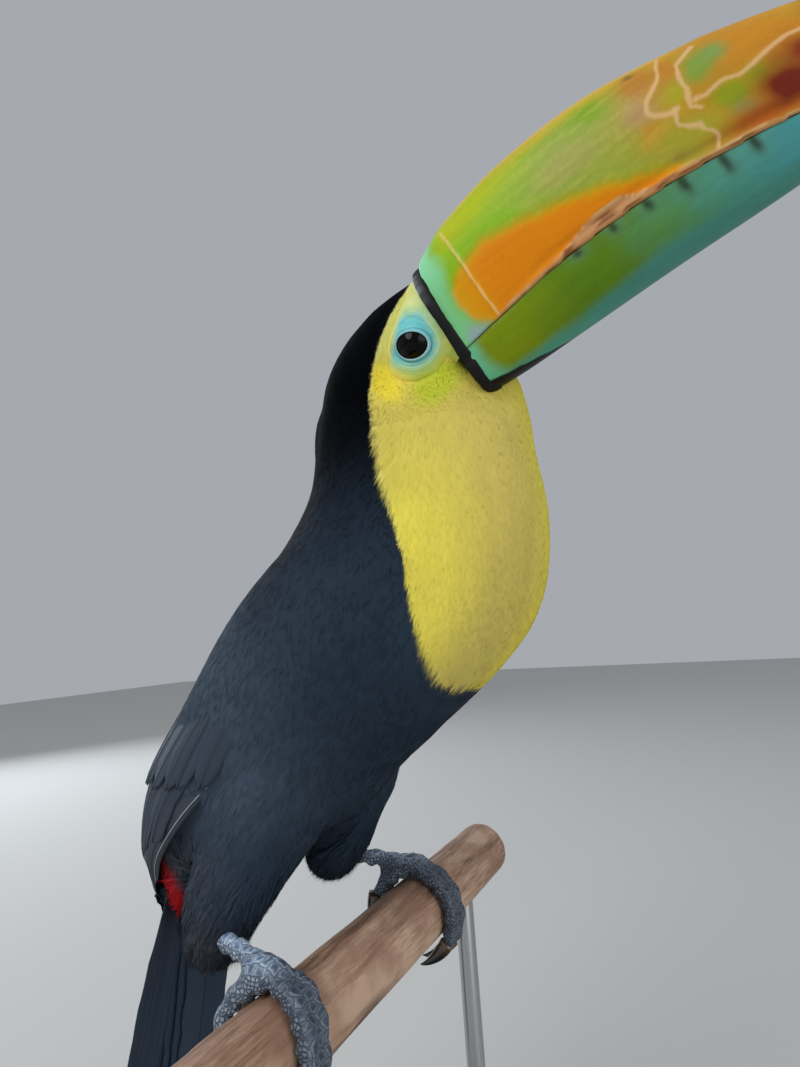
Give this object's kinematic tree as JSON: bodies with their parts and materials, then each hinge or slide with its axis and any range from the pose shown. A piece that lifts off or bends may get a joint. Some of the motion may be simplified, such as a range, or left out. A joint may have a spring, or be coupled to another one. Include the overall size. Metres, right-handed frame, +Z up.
{
  "type": "keel-billed toucan model",
  "caption": "Still, life-size keel-billed toucan (Ramphastos sulfuratus) gripping a cut length of wooden perch, held by a plain display stand with a flat base.",
  "frame": {"origin": "the middle of the stand base's underside, on the floor", "axes": "+Z up, +X the way the bird's body faces, +Y towards the bird's left, along the perch"},
  "size_m": [0.3133, 0.224, 0.4175],
  "materials": {
    "plumage_black": "matt blue-black feathers",
    "plumage_yellow": "bright yellow feathers of the bib",
    "plumage_cream": "cream-white uppertail coverts",
    "plumage_red": "red undertail coverts",
    "eye": "wet dark brown eye",
    "bill_band": "black skin round the bill's base",
    "bill_upper": "green, orange and yellow horn with a red tip",
    "bill_lower": "green and teal horn with a red tip",
    "foot_skin": "blue-grey scaly skin",
    "claw_horn": "dark horn",
    "perch_wood": "bare weathered wood",
    "stand_base": "dark satin paint on wood",
    "stand_rod": "brushed steel"
  },
  "bodies": {
    "root": {"head": "plumage_black", "eye_left": "eye", "eye_right": "eye", "bill_band": "bill_band", "bill_upper": "bill_upper", "bill_lower": "bill_lower", "neck": "plumage_yellow", "trunk": "plumage_black", "tail": "plumage_black", "tail_coverts_over": "plumage_cream", "tail_coverts_under": "plumage_red", "perch": "perch_wood", "stand_base": "stand_base", "stand_rod_near": "stand_rod", "stand_rod_far": "stand_rod", "wing_left": "plumage_black", "thigh_left": "plumage_black", "tarsus_left": "foot_skin", "foot_left": "foot_skin", "toe_front_inner_left": "foot_skin", "claw_front_inner_left": "claw_horn", "toe_front_outer_left": "foot_skin", "claw_front_outer_left": "claw_horn", "toe_back_inner_left": "foot_skin", "claw_back_inner_left": "claw_horn", "toe_back_outer_left": "foot_skin", "claw_back_outer_left": "claw_horn", "wing_right": "plumage_black", "thigh_right": "plumage_black", "tarsus_right": "foot_skin", "foot_right": "foot_skin", "toe_front_inner_right": "foot_skin", "claw_front_inner_right": "claw_horn", "toe_front_outer_right": "foot_skin", "claw_front_outer_right": "claw_horn", "toe_back_inner_right": "foot_skin", "claw_back_inner_right": "claw_horn", "toe_back_outer_right": "foot_skin", "claw_back_outer_right": "claw_horn"}
  },
  "joints": []
}
